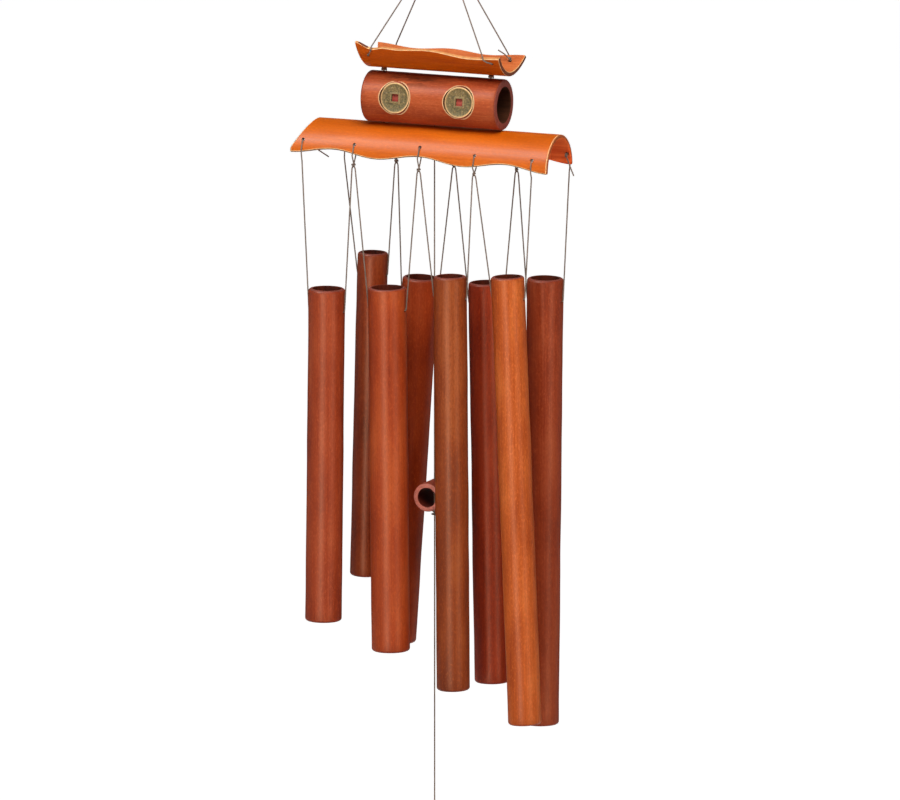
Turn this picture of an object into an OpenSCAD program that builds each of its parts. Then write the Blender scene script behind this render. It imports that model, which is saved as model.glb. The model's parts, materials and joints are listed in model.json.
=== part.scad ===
// Bamboo wind chime: a boat-shaped upper roof, a barrel with two coins and an arched lower roof,
// with eight tubes on cord slings and a clapper and a wind catcher on a centre cord.
// Millimetres, Z up. The origin is the centre of the hanging ring, X runs along the roofs
// and the front, where the coins are, faces -Y.

/* [Hanging ring] */
// Outer diameter of the hanging ring
ring_d = 25; // [20:0.5:32]
// Thickness of the wire of the ring
ring_wire = 3; // [2:0.1:4]
// Height of the ring centre over the axis of the lower roof
ring_height = 187; // [180:0.5:220]
// How far the ring hangs to the right of the centre cord
ring_offset = 6; // [0:0.1:10]

/* [Cord and knots] */
// Diameter of the cord
cord_d = 1.2; // [0.8:0.1:1.6]
// Diameter of a round knot
knot_d = 3.8; // [3.4:0.1:5]
// Room all round a cord in the hole that it runs through
hole_gap = 0.5; // [0.4:0.05:0.8]
// Gap between a cord and a wall or knot that it lies against
lay_gap = 0.15; // [0.1:0.05:0.3]
// Gap between a knot and what swings under it
swing_gap = 0.3; // [0.2:0.05:0.5]
// Diameter of the knot that gathers the hanger cords
gather_d = 6; // [5:0.1:8]
// Height of the knot that gathers the hanger cords
gather_h = 5; // [3:0.1:8]

/* [Upper roof] */
// Length of the upper roof
boat_length = 120.5; // [110:0.5:150]
// Outer radius of the upper roof
boat_r = 25; // [21:0.5:32]
// Wall of the upper roof
boat_wall = 3.2; // [2:0.1:5]
// Angle from the keel of the upper roof to each rim
boat_half_arc = 65; // [62:1:80]
// Angle by which the front rim hangs higher than the back rim
boat_roll = 8; // [0:0.5:15]
// Middle of the upper roof, to the right of the centre cord
boat_x = 5.7; // [-10:0.1:15]
// Height of the waves of the upper rims, to each side of their mean
boat_wave = 1.2; // [0:0.1:3]
// How much lower the right ends of the front and back upper rims are than their middle
boat_tip = [3, 1.2]; // [0:0.1:4]
// How far the front upper rim dips beside its left tip
boat_dip = 3.3; // [0:0.1:4]
// How much shorter the front upper rim is at its right end
boat_short = 4; // [0:0.5:5]
// How much shorter the keel is at each end
boat_rake = 3.5; // [0:0.5:10]
// Angle from the keel to the four corner holes
boat_hole_angle = 50; // [45:1:54]
// Places of the corner holes along the roof: front left, front right, back left, back right
boat_hole_x = [-50.5, 50, -52, 50]; // [-54:0.5:54]
// Places where the hanger cords cross the rims, in the same order
boat_rim_x = [-47, 43.5, -46.5, 45.5]; // [-54:0.5:54]

/* [Barrel] */
// Length of the barrel
barrel_length = 109; // [98:1:130]
// Outer diameter of the barrel
barrel_d = 38.4; // [37:0.2:46]
// Bore of the barrel
barrel_bore = 27; // [20:0.5:27.5]
// Middle of the barrel, to the right of the centre cord
barrel_x = 2; // [-5:0.5:5]
// Rounding of the barrel ends
barrel_edge = 1.2; // [0.5:0.1:2.5]
// Room between the upper roof and the barrel, filled by the tie knots
boat_spacer = 3.2; // [1.5:0.1:4]
// Room between the barrel and the lower roof, filled by the tie knots
barrel_spacer = 0.6; // [0.6:0.1:3]
// Places of the two tie cords along the barrel, from the centre cord
tie_x = [-41, 46]; // [-48:1:52]

/* [Coins] */
// Diameter of a coin
coin_d = 23; // [18:0.5:24]
// Thickness of a coin
coin_t = 2.4; // [1.2:0.1:2.6]
// Side of the square hole in a coin
coin_hole = 5.6; // [4:0.1:7]
// Width of the raised rims of a coin
coin_rim = 1.4; // [0.8:0.1:2]
// Height of the raised rims over the face of a coin
coin_relief = 0.25; // [0.1:0.05:0.4]
// Distance between the two coins
coin_spacing = 52; // [30:1:60]
// Middle between the two coins, to the right of the centre cord
coin_x = 0.8; // [-4:0.1:6]
// Room all round a coin in its seat
coin_gap = 0.9; // [0.6:0.1:1.2]
// How far a coin sits to the left of the middle of its seat
coin_shift = 0.5; // [0:0.1:0.5]
// Distance of the flat seats from the barrel axis
coin_seat = 14.6; // [14.2:0.1:15]
// Angle by which the coins look up
coin_tilt = 8.5; // [0:0.5:10]

/* [Lower roof] */
// Length of the lower roof
arch_length = 209; // [205:1:240]
// Outer radius of the lower roof
arch_r = 25.5; // [24:0.5:30]
// Wall of the lower roof
arch_wall = 3.2; // [2:0.1:4.5]
// Middle of the lower roof, to the right of the centre cord
arch_x = -2.8; // [-4:0.1:-2]
// How much shorter the ridge is at the left end
arch_rake = 12; // [0:0.5:16]
// Height of the blunt tip at the left end
arch_blunt = 3.5; // [0.8:0.1:5]
// Height of the lobes of the lower edges over the axis
arch_lift = 1; // [0.8:0.1:3]
// How much lower the right corners of the lower edges hang than their middle
arch_tip = 1.7; // [0:0.1:3]
// Depth of the notches between the lobes
arch_wave = 4.6; // [0:0.1:6]
// Angles of the cord holes over the horizontal, from left to right
arch_hole_angle = [29, 26, 30, 22, 21]; // [20:1:40]
// Diameter of the cord holes
arch_hole_d = 2.6; // [2.4:0.1:3.4]
// Places of the front holes, from the centre cord
front_hole_x = [-97.5, -55.5, -2.5, 42.5, 89]; // [-104:0.5:98]
// Places of the back holes, from the centre cord
back_hole_x = [-84, -41.5, 5.5, 56.5, 99]; // [-104:0.5:99]
// Depth of the front knots under the axis
front_knot_drop = 4; // [3:0.5:8]
// Depth of the back knots under the axis
back_knot_drop = 8; // [4:0.5:12]

/* [Tubes] */
// Outer diameters of the tubes, from left to right
tube_d = [27.5, 23, 29, 27.5, 25, 26.5, 25, 27.5]; // [20:0.5:29]
// Lengths of the tubes
tube_length = [253.5, 247.5, 277, 280, 315, 305, 340, 340.5]; // [200:0.5:380]
// Depths of the tops of the tubes under the axis of the lower roof
tube_drop = [99.5, 78.5, 95, 95, 83, 95, 80, 88.5]; // [60:0.5:130]
// Places of the tubes to the right of the middle of their two holes
tube_shift = [-0.8, 2, 0.8, -3.5, 3, 0.4, 4, 2]; // [-4:0.1:5]
// Angles by which the lower ends lean to the right
tube_lean = [-0.7, -1.5, 0.6, -3.9, 0.5, 1, 2.4, -0.6]; // [-4:0.1:4]
// Wall of the tubes
tube_wall = 3; // [2.2:0.1:4]
// Rounding of the outer edges of the tubes
tube_edge = 2; // [0.5:0.1:2.1]
// Depth of the side holes under the top of a tube
tube_hole_drop = 17; // [10:0.5:25]
// Distance of a sling strand from the side of its tube
strand_gap = 0.3; // [0.2:0.05:0.6]

/* [Clapper] */
// Outer diameter of the clapper
clapper_d = 22; // [16:0.5:22.5]
// Wall of the clapper
clapper_wall = 3.9; // [2:0.1:4.2]
// Length of the clapper
clapper_length = 30; // [20:0.5:32]
// Rounding of the clapper edges
clapper_edge = 1.2; // [0.4:0.1:1.8]
// Depth of the clapper under the axis of the lower roof
clapper_drop = 255; // [200:1:300]

/* [Wind catcher] */
// Height of the wind catcher
catcher_h = 66; // [50:1:90]
// Width of the wind catcher
catcher_w = 36; // [26:1:44]
// Outer radius of the bamboo that the wind catcher is split from
catcher_r = 25; // [23:0.5:35]
// Wall of the wind catcher
catcher_wall = 3; // [2:0.1:4]
// Rounding of the upper corners of the wind catcher
catcher_corner = 6; // [2:0.5:10]
// Depth of the hole under the top of the wind catcher
catcher_hole_drop = 7; // [5:0.5:12]
// Depth of the knot over the wind catcher under the axis of the lower roof
catcher_drop = 494; // [470:1:520]

/* [Hidden] */
$fn = 64;
cord_sides = 8;
wave_steps = 48;
boat_waves = 2;
arch_waves = 3;
hole_count = 5;
tube_count = 2 * (hole_count - 1);
overcut = 1;

cord_r = cord_d / 2;
knot_r = knot_d / 2;
cord_bore = cord_d + 2 * hole_gap;
// A strand leaves a shared knot this far to the side of its middle
knot_side = cord_d / 2 + 0.7;
// A cord turns into a hole round a bend of this radius
bend_r = 1.5;
bend_steps = 4;

ring_r = (ring_d - ring_wire) / 2;
loop_r = ring_wire / 2 + swing_gap + cord_r;
loop_turns = 3;
gather_top = ring_height - ring_r - loop_r - cord_r - swing_gap;

barrel_z = arch_r + barrel_spacer + barrel_d / 2;
boat_z = barrel_z + barrel_d / 2 + boat_spacer + boat_r;
arch_in = arch_r - arch_wall;
boat_in = boat_r - boat_wall;
row_y = arch_r - 1;
row_z = [-front_knot_drop, -back_knot_drop];
row_holes = [front_hole_x, back_hole_x];
centre_knot_z = arch_in - lay_gap - knot_r;
clapper_knot_z = -clapper_drop - clapper_d / 2 - swing_gap - knot_r;
catcher_knot_z = -catcher_drop;
catcher_top = catcher_knot_z - knot_r - 3;
catcher_half = asin(catcher_w / 2 / catcher_r);
// The wall hangs behind the cord so that the weight is under it
catcher_y = (catcher_r - catcher_wall / 2) * sin(catcher_half) * 180 / (PI * catcher_half);

bamboo_orange = "#c8691f";
bamboo_brown = "#9a4528";
bamboo_red = "#8c3a22";
cord_brown = "#5b4a42";
coin_brass = "#8f8354";
ring_steel = "#a9adb2";

// Shared shapes

// Places a child whose zero is on the axis of the lower roof, at the centre cord
module at_roof() translate([-ring_offset, 0, -ring_height]) children();

function unit(v) = v / norm(v);
function heading(p, i) = unit(p[min(i + 1, len(p) - 1)] - p[max(i - 1, 0)]);
function across(n, t) = unit(n - (n * t) * t);
function sides(p, i = 0, n = [0.3, 0.8, 0.5]) =
    i == len(p) ? [] : let (m = across(n, heading(p, i))) concat([m], sides(p, i + 1, m));

// A cord along a list of points, as one closed tube
module cord(p) {
    n = sides(p);
    s = cord_sides;
    rings = [for (i = [0:len(p) - 1]) let (t = heading(p, i), u = n[i], v = cross(t, u))
        for (k = [0:s - 1]) p[i] + cord_r * (cos(360 * k / s) * u + sin(360 * k / s) * v)];
    walls = [for (i = [0:len(p) - 2]) for (k = [0:s - 1])
        let (a = i * s + k, b = i * s + (k + 1) % s) each [[a, a + s, b + s], [a, b + s, b]]];
    ends = [[for (k = [0:s - 1]) k], [for (k = [s - 1:-1:0]) (len(p) - 1) * s + k]];
    polyhedron(rings, concat(walls, ends));
}

// A bamboo tube standing on Z = 0, with rounded outer edges
module bamboo_tube(d, wall, length, edge) {
    rotate_extrude() {
        translate([d / 2 - wall, edge]) square([wall, length - 2 * edge]);
        translate([d / 2 - wall, 0]) square([wall - edge, length]);
        for (z = [edge, length - edge]) translate([d / 2 - edge, z]) circle(edge);
    }
}

// A plain lying cylinder along X, about its middle
module along_x(r, length) rotate([0, 90, 0]) cylinder(r = r, h = length, center = true);

// A slab as thick as asked along Y, with its outline in X and Z
module side_cut(points, thick) rotate([90, 0, 0]) linear_extrude(thick, center = true) polygon(points);

// A round knot, flattened to a turned profile with a straight cord above and below it
module knot_profile(z) translate([0, z]) circle(knot_r);
module wrap_profile(z, h, w) {
    translate([0, z - h / 2]) square([(w - h) / 2, h]);
    translate([(w - h) / 2, z]) circle(h / 2);
}
module turned(low, high) {
    rotate_extrude() intersection() {
        children();
        translate([0, low - knot_d]) square([knot_d * 2, high - low + 2 * knot_d]);
    }
}

// Hanging ring and hanger cords

module hanging_ring() color(ring_steel) rotate([90, 0, 0]) rotate_extrude()
    translate([ring_r, 0]) circle(ring_wire / 2);

// Turns of cord round the wire at the bottom of the ring
module hanger_loop() color(cord_brown) translate([0, 0, -ring_r]) rotate([0, 90, 0]) rotate_extrude()
    for (k = [0:loop_turns - 1]) translate([loop_r, (k - (loop_turns - 1) / 2) * cord_d * 0.9]) circle(cord_r);

module gather_knot() color(cord_brown) at_roof() translate([ring_offset, 0, gather_top - gather_h])
    rotate_extrude() {
        square([(gather_d - cord_d) / 2, gather_h]);
        for (z = [cord_r : (gather_h - cord_d) / 3 : gather_h - cord_r + 0.01])
            translate([(gather_d - cord_d) / 2, z]) circle(cord_r);
    }

// A point of the upper roof: along it, at an angle from the keel (front negative) and at a radius
function boat_point(x, angle, r) =
    [boat_x + x, r * sin(angle - boat_roll), boat_z - r * cos(angle - boat_roll)];
function boat_dip_share(x) = let (t = (-2 * x / boat_length - 0.8) / 0.2)
    abs(t) < 1 ? (1 + cos(180 * t)) / 2 : 0;
function boat_rim(row, x) =
    boat_wave * cos(360 * boat_waves * x / boat_length) - 2 * boat_tip[row] * x / boat_length
    - (row == 0 ? boat_dip * boat_dip_share(x) : 0);
function boat_rim_angle(row, x) = acos(cos(boat_half_arc) - boat_rim(row, x) / boat_r);

// From the gather knot over the rim, down the outer face and in through the corner hole
module hanger_cord(corner) {
    side = corner < 2 ? -1 : 1;
    end = corner % 2 == 0 ? -1 : 1;
    rim_x = boat_rim_x[corner];
    hole_x = boat_hole_x[corner];
    rim = boat_rim_angle(corner < 2 ? 0 : 1, rim_x);
    lay_r = boat_r + cord_r + lay_gap;
    degree = 180 / PI / boat_r;
    mid_angle = (rim + boat_hole_angle) / 2;
    route = [
        [ring_offset + end * cord_d * 0.8, side * cord_d * 0.8, gather_top - gather_h - cord_r],
        boat_point(rim_x, side * (rim + 1.6 * degree * cord_d), lay_r - cord_r),
        boat_point(rim_x, side * rim, lay_r + lay_gap),
        boat_point((rim_x + hole_x) / 2, side * mid_angle, lay_r + lay_gap),
        boat_point(hole_x, side * (boat_hole_angle + cord_d * degree), lay_r),
        boat_point(hole_x, side * (boat_hole_angle + 0.3 * degree), boat_r + 0.4 * cord_r),
        boat_point(hole_x, side * boat_hole_angle, boat_r - cord_d),
        boat_point(hole_x, side * boat_hole_angle, boat_in - lay_gap)
    ];
    color(cord_brown) at_roof() cord(route);
}
module hanger_cord_front_left() hanger_cord(0);
module hanger_cord_front_right() hanger_cord(1);
module hanger_cord_back_left() hanger_cord(2);
module hanger_cord_back_right() hanger_cord(3);

// Upper roof

// What stays of the front (row 0) or the back of the upper roof under its wavy rim
module boat_side(row) {
    half = boat_length / 2;
    low = -boat_r - overcut;
    deep = boat_r + overcut;
    right = half - (row == 0 ? boat_short : 0);
    wave_x = [for (k = [0:wave_steps]) -half + (half + right) * k / wave_steps];
    outline = concat(
        [[-half + boat_rake, low], [half - boat_rake, low]],
        [for (k = [wave_steps:-1:0]) [wave_x[k], -boat_r * cos(boat_half_arc) + boat_rim(row, wave_x[k])]]
    );
    translate([0, (row == 0 ? -1 : 1) * deep / 2, 0]) side_cut(outline, deep);
}

module upper_roof() {
    color(bamboo_orange) at_roof() difference() {
        translate([boat_x, 0, boat_z]) rotate([-boat_roll, 0, 0]) difference() {
            intersection() {
                difference() {
                    along_x(boat_r, boat_length);
                    along_x(boat_in, boat_length + overcut);
                }
                union() for (row = [0, 1]) boat_side(row);
            }
            for (corner = [0:3]) translate([boat_hole_x[corner], 0, 0])
                rotate([(corner < 2 ? -1 : 1) * boat_hole_angle + 180, 0, 0])
                    translate([0, 0, boat_in - overcut]) cylinder(d = cord_bore, h = boat_wall + 2 * overcut);
        }
        for (x = tie_x) translate([x, 0, boat_z - boat_r - overcut])
            cylinder(d = cord_bore, h = boat_wall + 2 * overcut);
    }
}

// Stopper knots inside the corner holes
module upper_roof_knots() color(cord_brown) at_roof() for (corner = [0:3])
    translate(boat_point(boat_hole_x[corner], (corner < 2 ? -1 : 1) * boat_hole_angle,
        boat_in - 2 * lay_gap - knot_r)) sphere(knot_r);

// Barrel and coins

module at_barrel() at_roof() translate([barrel_x, 0, barrel_z]) children();
module at_coin(side) at_barrel() rotate([-coin_tilt, 0, 0])
    translate([coin_x - barrel_x + side * coin_spacing / 2, -coin_seat, 0]) rotate([90, 0, 0]) children();

module barrel() color(bamboo_red) difference() {
    at_barrel() translate([-barrel_length / 2, 0, 0]) rotate([0, 90, 0])
        bamboo_tube(barrel_d, (barrel_d - barrel_bore) / 2, barrel_length, barrel_edge);
    for (side = [-1, 1]) at_coin(side) translate([coin_shift, 0, 0])
        cylinder(d = coin_d + 2 * coin_gap, h = barrel_d / 2);
    at_roof() for (x = tie_x) translate([x, 0, barrel_z - barrel_d / 2 - overcut])
        cylinder(d = cord_bore, h = barrel_d + 2 * overcut);
    at_roof() translate([0, 0, barrel_z - barrel_d / 2 - overcut]) cylinder(d = cord_bore, h = barrel_d / 2);
}

// A coin with a square hole, raised rims round its edge and its hole, and bare faces
module coin(side) {
    field_d = coin_d - 2 * coin_rim;
    inner = coin_hole + 2 * coin_rim;
    color(coin_brass) at_coin(side) difference() {
        cylinder(d = coin_d, h = coin_t);
        translate([0, 0, coin_t / 2]) cube([coin_hole, coin_hole, coin_t + 2 * overcut], center = true);
        difference() {
            translate([0, 0, coin_t - coin_relief]) cylinder(d = field_d, h = coin_relief + overcut);
            translate([0, 0, coin_t]) cube([inner, inner, 4 * overcut], center = true);
        }
    }
}
module coin_left() coin(-1);
module coin_right() coin(1);

// A tie cord through the upper roof, the barrel and the lower roof, with wraps in the two gaps
module tie_cord(side) {
    top = boat_z - boat_in + lay_gap + knot_r;
    wraps = [[boat_z - boat_r - boat_spacer / 2, boat_spacer], [arch_r + barrel_spacer / 2, barrel_spacer]];
    color(cord_brown) at_roof() translate([tie_x[side], 0, 0]) turned(centre_knot_z, top) {
        translate([0, centre_knot_z]) square([cord_r, top - centre_knot_z]);
        knot_profile(centre_knot_z);
        knot_profile(top);
        for (w = wraps) wrap_profile(w[0], w[1] - 2 * lay_gap, w[1] + knot_r);
    }
}
module tie_cord_left() tie_cord(0);
module tie_cord_right() tie_cord(1);

// Lower roof

function arch_edge(x) =
    arch_lift - 2 * arch_tip * x / arch_length
    + arch_wave / 2 * (1 - cos(360 * arch_waves * (x / arch_length + 0.5)));

// A point of the lower roof: along it, at an angle over the horizontal and at a radius
function arch_point(row, x, angle, r) = [x, (row == 0 ? -1 : 1) * r * cos(angle), r * sin(angle)];

module lower_roof() {
    half = arch_length / 2;
    top = arch_r + overcut;
    wave_x = [for (k = [0:wave_steps]) -half + arch_length * k / wave_steps];
    outline = concat(
        [for (x = wave_x) [x, arch_edge(x)]],
        [[half, top], [-half + arch_rake, top], [-half, arch_edge(-half) + arch_blunt]]
    );
    color(bamboo_orange) at_roof() difference() {
        translate([arch_x, 0, 0]) intersection() {
            difference() {
                along_x(arch_r, arch_length);
                along_x(arch_in, arch_length + overcut);
            }
            side_cut(outline, 2 * arch_r + overcut);
        }
        for (row = [0, 1]) for (k = [0:hole_count - 1]) translate([row_holes[row][k], 0, 0])
            rotate([(row == 0 ? 1 : -1) * (90 - arch_hole_angle[k]), 0, 0])
                translate([0, 0, arch_in - overcut]) cylinder(d = arch_hole_d, h = arch_wall + 2 * overcut);
        for (x = concat(tie_x, [0])) translate([x, 0, arch_in - overcut])
            cylinder(d = cord_bore, h = arch_wall + 2 * overcut);
    }
}

// The cord of one hole: round the edge to the knot under it, or at the ends of a row one strand
// over the edge with its stopper knot inside
function edge_route(row, k) = let (
    x = row_holes[row][k],
    y = (row == 0 ? -1 : 1) * row_y,
    out_r = arch_r + cord_r + lay_gap,
    in_r = arch_in - cord_r - lay_gap,
    low = arch_edge(x - arch_x) - cord_r,
    a = arch_hole_angle[k],
    degree = 180 / PI / arch_r,
    end = k == 0 || k == hole_count - 1,
    tail = end ? 0 : knot_side,
    foot_z = row_z[row] + (end ? swing_gap : knot_r + swing_gap),
    down = [
        [x - tail / 2, y, foot_z],
        arch_point(row, x - tail / 2, asin(low / out_r), out_r),
        arch_point(row, x, a / 2, out_r),
        arch_point(row, x, a - cord_d * degree, out_r),
        arch_point(row, x, a - 0.25 * degree, arch_r + 0.4 * cord_r),
        arch_point(row, x, a, arch_r - cord_d)
    ],
    up = [
        arch_point(row, x, a, arch_in + cord_d),
        arch_point(row, x, a - 0.25 * degree, arch_in - 0.4 * cord_r),
        arch_point(row, x, a - cord_d * degree, in_r),
        arch_point(row, x, a / 2, in_r),
        arch_point(row, x + tail / 2, asin(low / in_r), in_r),
        [x + tail / 2, y + (row == 0 ? 1 : -1) * cord_d * 1.2, foot_z]
    ]
) concat(down, end ? [arch_point(row, x, a, arch_in - lay_gap)] : up);

module edge_cords(row) color(cord_brown) at_roof()
    for (k = [0:hole_count - 1]) cord(edge_route(row, k));
module front_edge_cords() edge_cords(0);
module back_edge_cords() edge_cords(1);

module edge_knots(row) color(cord_brown) at_roof() {
    last = hole_count - 1;
    for (k = [1:last - 1])
        translate([row_holes[row][k], (row == 0 ? -1 : 1) * row_y, row_z[row]]) sphere(knot_r);
    for (k = [0, last]) translate(arch_point(row, row_holes[row][k], arch_hole_angle[k],
        arch_in - 2 * lay_gap - knot_r)) sphere(knot_r);
}
module front_edge_knots() edge_knots(0);
module back_edge_knots() edge_knots(1);

// Tubes and slings

function tube_row(i) = i % 2;
function tube_knot(i, side) = row_holes[tube_row(i)][floor(i / 2) + side];
function tube_x(i) = (tube_knot(i, 0) + tube_knot(i, 1)) / 2 + tube_shift[i];
function tube_y(i) = tube_row(i) == 0 ? -row_y : row_y;
function tube_side(i) = [cos(tube_lean[i]), 0, sin(tube_lean[i])];
function tube_down(i) = [sin(tube_lean[i]), 0, -cos(tube_lean[i])];
function tube_hole(i) = [tube_x(i), tube_y(i), -tube_drop[i]] + tube_hole_drop * tube_down(i);

module chime_tube(i) color(bamboo_brown) at_roof() difference() {
    translate([tube_x(i), tube_y(i), -tube_drop[i]]) rotate([0, -tube_lean[i], 0])
        translate([0, 0, -tube_length[i]]) bamboo_tube(tube_d[i], tube_wall, tube_length[i], tube_edge);
    translate(tube_hole(i)) rotate([0, -tube_lean[i], 0]) along_x(cord_bore / 2, tube_d[i] + overcut);
}

// Half of a sling: from the knot down beside the tube and into its side hole
function sling_half(i, side) = let (
    away = side == 0 ? -1 : 1,
    hole = floor(i / 2) + side,
    end = hole == 0 || hole == hole_count - 1,
    top = [tube_knot(i, side) - away * (end ? 0 : knot_side), tube_y(i),
        row_z[tube_row(i)] - (end ? swing_gap : knot_r + swing_gap)],
    reach = tube_d[i] / 2 + strand_gap + cord_r,
    corner = tube_hole(i) + away * (reach - bend_r) * tube_side(i) - bend_r * tube_down(i)
) concat([top], [for (k = [0:bend_steps]) let (turn = 90 * k / bend_steps)
    corner + bend_r * (away * cos(turn) * tube_side(i) + sin(turn) * tube_down(i))]);

function reversed(p) = [for (k = [len(p) - 1:-1:0]) p[k]];

module tube_sling(i) color(cord_brown) at_roof() cord(concat(sling_half(i, 0), reversed(sling_half(i, 1))));

// Centre cord, clapper and wind catcher

// Holds the centre cord: a knot in the barrel, a straight length and a knot under the lower roof
module centre_tie() {
    top = barrel_z - barrel_bore / 2 + lay_gap + knot_r;
    color(cord_brown) at_roof() turned(centre_knot_z, top) {
        translate([0, centre_knot_z]) square([cord_r, top - centre_knot_z]);
        knot_profile(centre_knot_z);
        knot_profile(top);
    }
}

// The bight of a cord round the knot that it hangs from
module hitch(z) color(cord_brown) at_roof() translate([0, 0, z]) rotate_extrude()
    translate([1, -1] * (knot_r + swing_gap + cord_r) / sqrt(2)) circle(cord_r);
module centre_loop() hitch(centre_knot_z);
module catcher_loop() hitch(clapper_knot_z);

module straight_cord(high, low) color(cord_brown) at_roof() translate([0, 0, low]) cylinder(r = cord_r, h = high - low);
module clapper_cord() straight_cord(centre_knot_z - knot_r - swing_gap, clapper_knot_z + knot_r + lay_gap);
module catcher_cord() straight_cord(clapper_knot_z - knot_r - swing_gap, catcher_knot_z + knot_r + lay_gap);

module clapper() color(bamboo_brown) at_roof() translate([0, 0, -clapper_drop]) difference() {
    translate([0, clapper_length / 2, 0]) rotate([90, 0, 0])
        bamboo_tube(clapper_d, clapper_wall, clapper_length, clapper_edge);
    cylinder(d = cord_bore, h = clapper_d + 2 * overcut, center = true);
}
module clapper_knot() color(cord_brown) at_roof() translate([0, 0, clapper_knot_z]) sphere(knot_r);
module catcher_knot() color(cord_brown) at_roof() translate([0, 0, catcher_knot_z]) sphere(knot_r);

// A slat split from a tube: round at the bottom, with rounded upper corners and a hole at the top
module wind_catcher() {
    round_z = catcher_top - catcher_h + catcher_w / 2;
    inner_w = catcher_w - 2 * catcher_corner;
    color(bamboo_orange) at_roof() difference() {
        intersection() {
            translate([0, catcher_y, round_z - catcher_w / 2]) difference() {
                cylinder(r = catcher_r, h = catcher_h);
                translate([0, 0, -overcut]) cylinder(r = catcher_r - catcher_wall, h = catcher_h + 2 * overcut);
            }
            translate([0, catcher_y, 0]) rotate([90, 0, 0]) linear_extrude(catcher_r + overcut) {
                translate([0, round_z]) circle(d = catcher_w);
                translate([-catcher_w / 2, round_z])
                    square([catcher_w, catcher_top - catcher_corner - round_z]);
                translate([-inner_w / 2, round_z]) square([inner_w, catcher_top - round_z]);
                for (side = [-1, 1]) translate([side * inner_w / 2, catcher_top - catcher_corner])
                    circle(catcher_corner);
            }
        }
        translate([0, catcher_y, catcher_top - catcher_hole_drop]) rotate([90, 0, 0])
            cylinder(d = cord_bore, h = catcher_r + overcut);
    }
}

// The loop that holds the wind catcher: down before the wall, through its hole and up behind it
module catcher_sling() {
    front_y = catcher_y - catcher_r - lay_gap - cord_r;
    back_y = catcher_y - catcher_r + catcher_wall + lay_gap + cord_r;
    top_z = catcher_knot_z - knot_r - swing_gap;
    hole_z = catcher_top - catcher_hole_drop;
    route = [
        [0, -knot_side / 2 - lay_gap, top_z],
        [0, front_y, catcher_top],
        [0, front_y, hole_z + cord_d],
        [0, front_y + 0.4 * cord_r, hole_z + 0.3],
        [0, front_y + cord_d, hole_z],
        [0, back_y - cord_d, hole_z],
        [0, back_y - 0.4 * cord_r, hole_z + 0.3],
        [0, back_y, hole_z + cord_d],
        [0, back_y, catcher_top],
        [0, knot_side / 2 + lay_gap, top_z]
    ];
    color(cord_brown) at_roof() cord(route);
}

// The part

hanging_ring();
hanger_loop();
gather_knot();
hanger_cord_front_left();
hanger_cord_front_right();
hanger_cord_back_left();
hanger_cord_back_right();
upper_roof();
upper_roof_knots();
barrel();
coin_left();
coin_right();
tie_cord_left();
tie_cord_right();
lower_roof();
front_edge_cords();
front_edge_knots();
back_edge_cords();
back_edge_knots();
centre_tie();
centre_loop();
clapper_cord();
clapper();
clapper_knot();
catcher_loop();
catcher_cord();
catcher_knot();
catcher_sling();
wind_catcher();
for (i = [0:tube_count - 1]) {
    chime_tube(i);
    tube_sling(i);
}
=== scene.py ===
import json
import math

import bpy
from mathutils import Matrix, Vector


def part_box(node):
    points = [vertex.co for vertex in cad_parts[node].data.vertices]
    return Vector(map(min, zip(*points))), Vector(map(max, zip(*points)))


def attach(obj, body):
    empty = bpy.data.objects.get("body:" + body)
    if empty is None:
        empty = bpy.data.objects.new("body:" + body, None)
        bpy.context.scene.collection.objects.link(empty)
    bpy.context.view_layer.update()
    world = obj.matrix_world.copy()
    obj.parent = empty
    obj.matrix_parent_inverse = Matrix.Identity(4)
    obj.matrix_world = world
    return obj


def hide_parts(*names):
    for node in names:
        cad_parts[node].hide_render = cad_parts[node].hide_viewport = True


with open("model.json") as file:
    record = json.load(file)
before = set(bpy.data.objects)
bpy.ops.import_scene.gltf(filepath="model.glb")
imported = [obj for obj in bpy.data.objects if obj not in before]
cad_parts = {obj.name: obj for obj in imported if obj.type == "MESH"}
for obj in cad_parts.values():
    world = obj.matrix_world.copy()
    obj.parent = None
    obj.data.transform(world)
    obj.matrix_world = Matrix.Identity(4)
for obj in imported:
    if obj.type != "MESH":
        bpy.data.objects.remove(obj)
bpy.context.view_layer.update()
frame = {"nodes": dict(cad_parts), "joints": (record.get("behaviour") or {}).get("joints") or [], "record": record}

# Bamboo wind chime. Sizes are in millimetres from the lower roof's axis at the centre cord,
# X along the roofs and the coins to the front (-Y); meshes are in metres in the part's own frame.
mm = 0.001
sides = (-1, 1)  # front or left, back or right

lowerRoof = {
    "long": 209, "radius": 25.5, "wall": 3.2, "middle": -2.8,
    "rake": 12, "blunt": 3.5, "lift": 1, "tip": 1.7, "wave": 4.6, "waves": 3,
    "holeAngle": (29, 26, 30, 22, 21), "holeAcross": 2.6,
    "holes": ((-97.5, -55.5, -2.5, 42.5, 89), (-84, -41.5, 5.5, 56.5, 99)),  # front row, back row
    "rowInset": 1, "knotDrop": (4, 8), "swell": 0.25, "edgeSoftening": 1.1,
}
lowerR = lowerRoof["radius"]
centreX = next(j["pos_m"][0] for j in frame["joints"] if j["name"] == "centre_swing")
roofAt = Vector((centreX, 0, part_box("lower_roof")[1].z - lowerR * mm))


def place(point):
    return roofAt + Vector(point) * mm


def moved(point):
    return Matrix.Translation(place(point))


def shift(x, y, z):
    return Matrix.Translation(Vector((x, y, z)) * mm)


def turned(angle, axis):
    return Matrix.Rotation(math.radians(angle), 4, axis)


def mode(word):
    bpy.ops.object.mode_set(mode=word)


def pick(action):
    bpy.ops.mesh.select_all(action=action)


def only(obj):
    bpy.ops.object.select_all(action="DESELECT")
    obj.select_set(True)
    bpy.context.view_layer.objects.active = obj


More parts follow.
